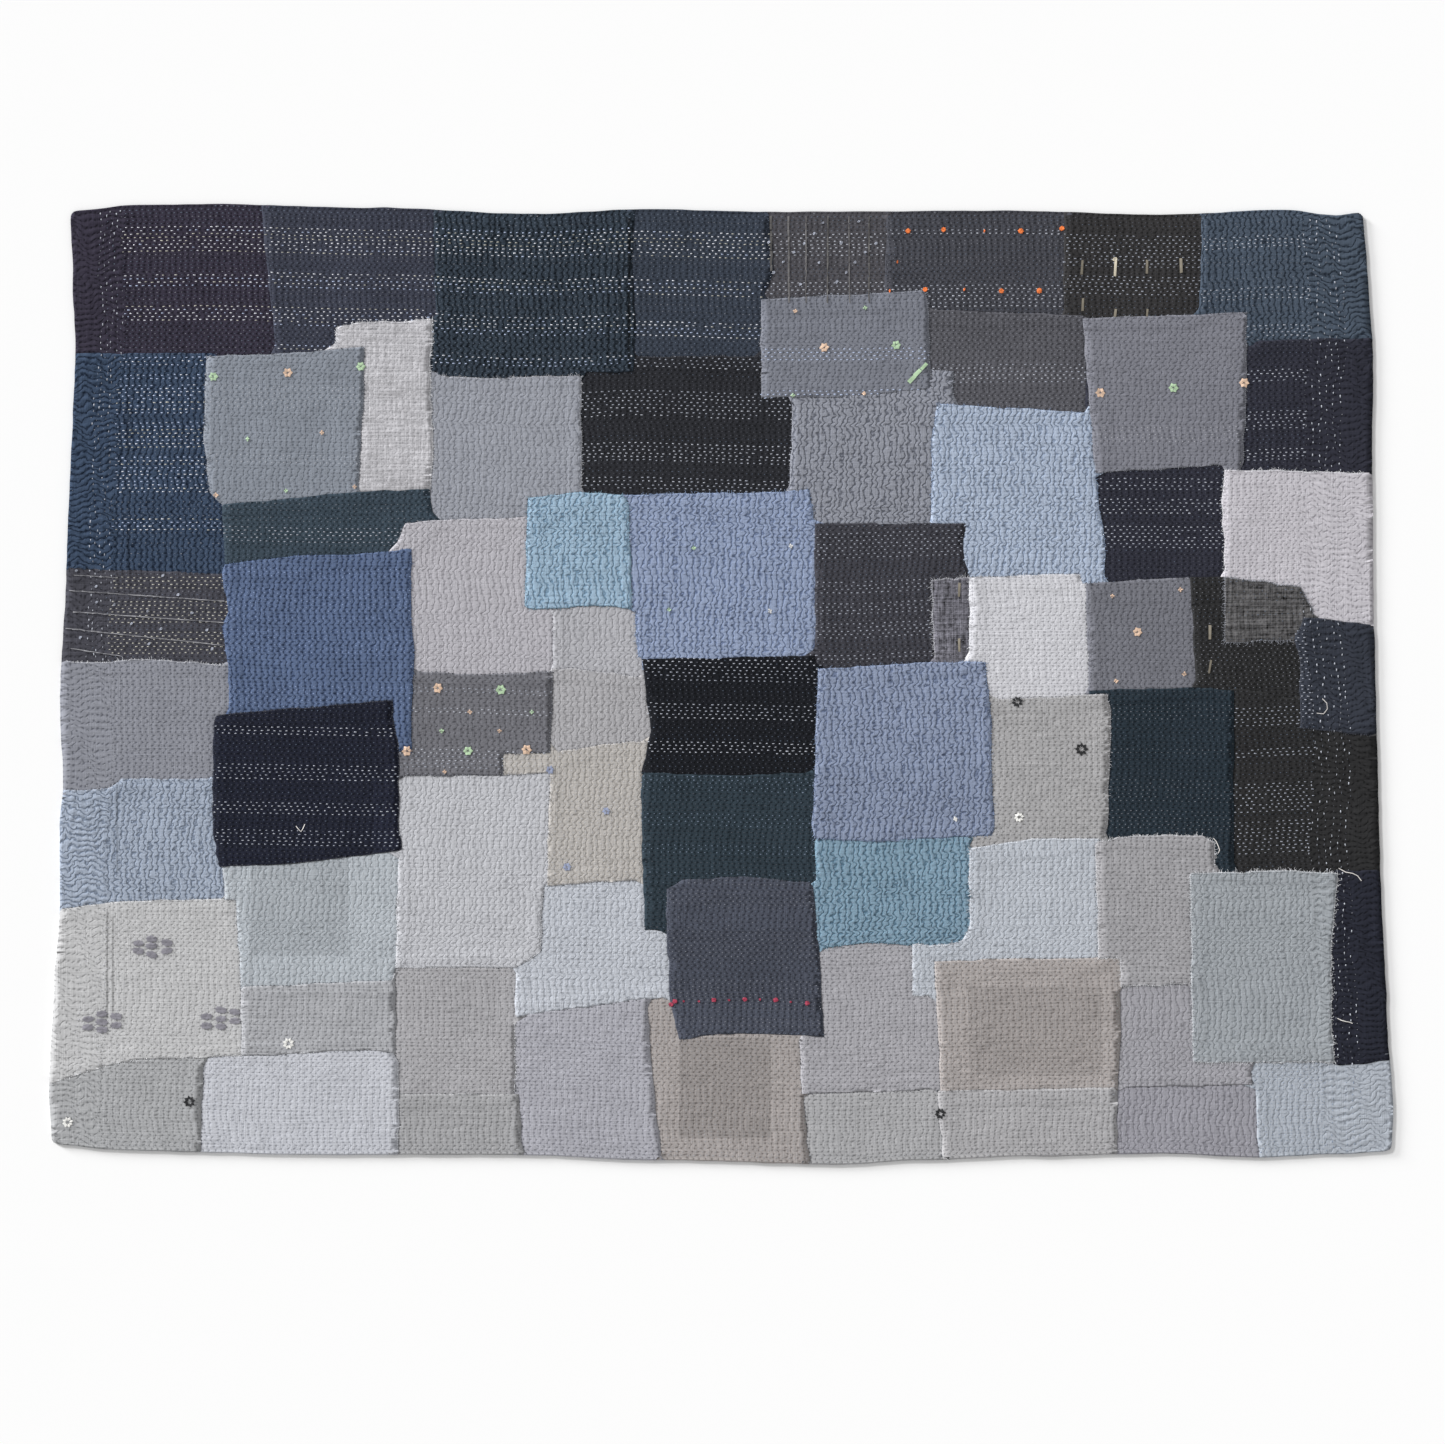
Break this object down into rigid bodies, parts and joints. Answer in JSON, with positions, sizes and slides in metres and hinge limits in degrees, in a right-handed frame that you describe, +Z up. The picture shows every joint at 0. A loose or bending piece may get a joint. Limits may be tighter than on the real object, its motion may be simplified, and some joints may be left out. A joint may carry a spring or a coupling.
{
  "type": "kantha quilt",
  "caption": "Wide patchwork throw of worn cotton pieces, quilted all over with close rows of hand running stitch, lying flat.",
  "frame": {"origin": "centre of the underside's bounding box, on the surface that the quilt lies on", "axes": "+X along the stitch rows, to the right as it lies; +Y to its top edge; +Z up out of its face"},
  "size_m": [2.1318, 1.5222, 0.0046],
  "materials": {
    "quilted_cotton": "matt worn hand-quilted cotton in blues, greys and near-black, with pale and tonal running stitches"
  },
  "bodies": {
    "root": {"quilt": "quilted_cotton"}
  },
  "joints": []
}
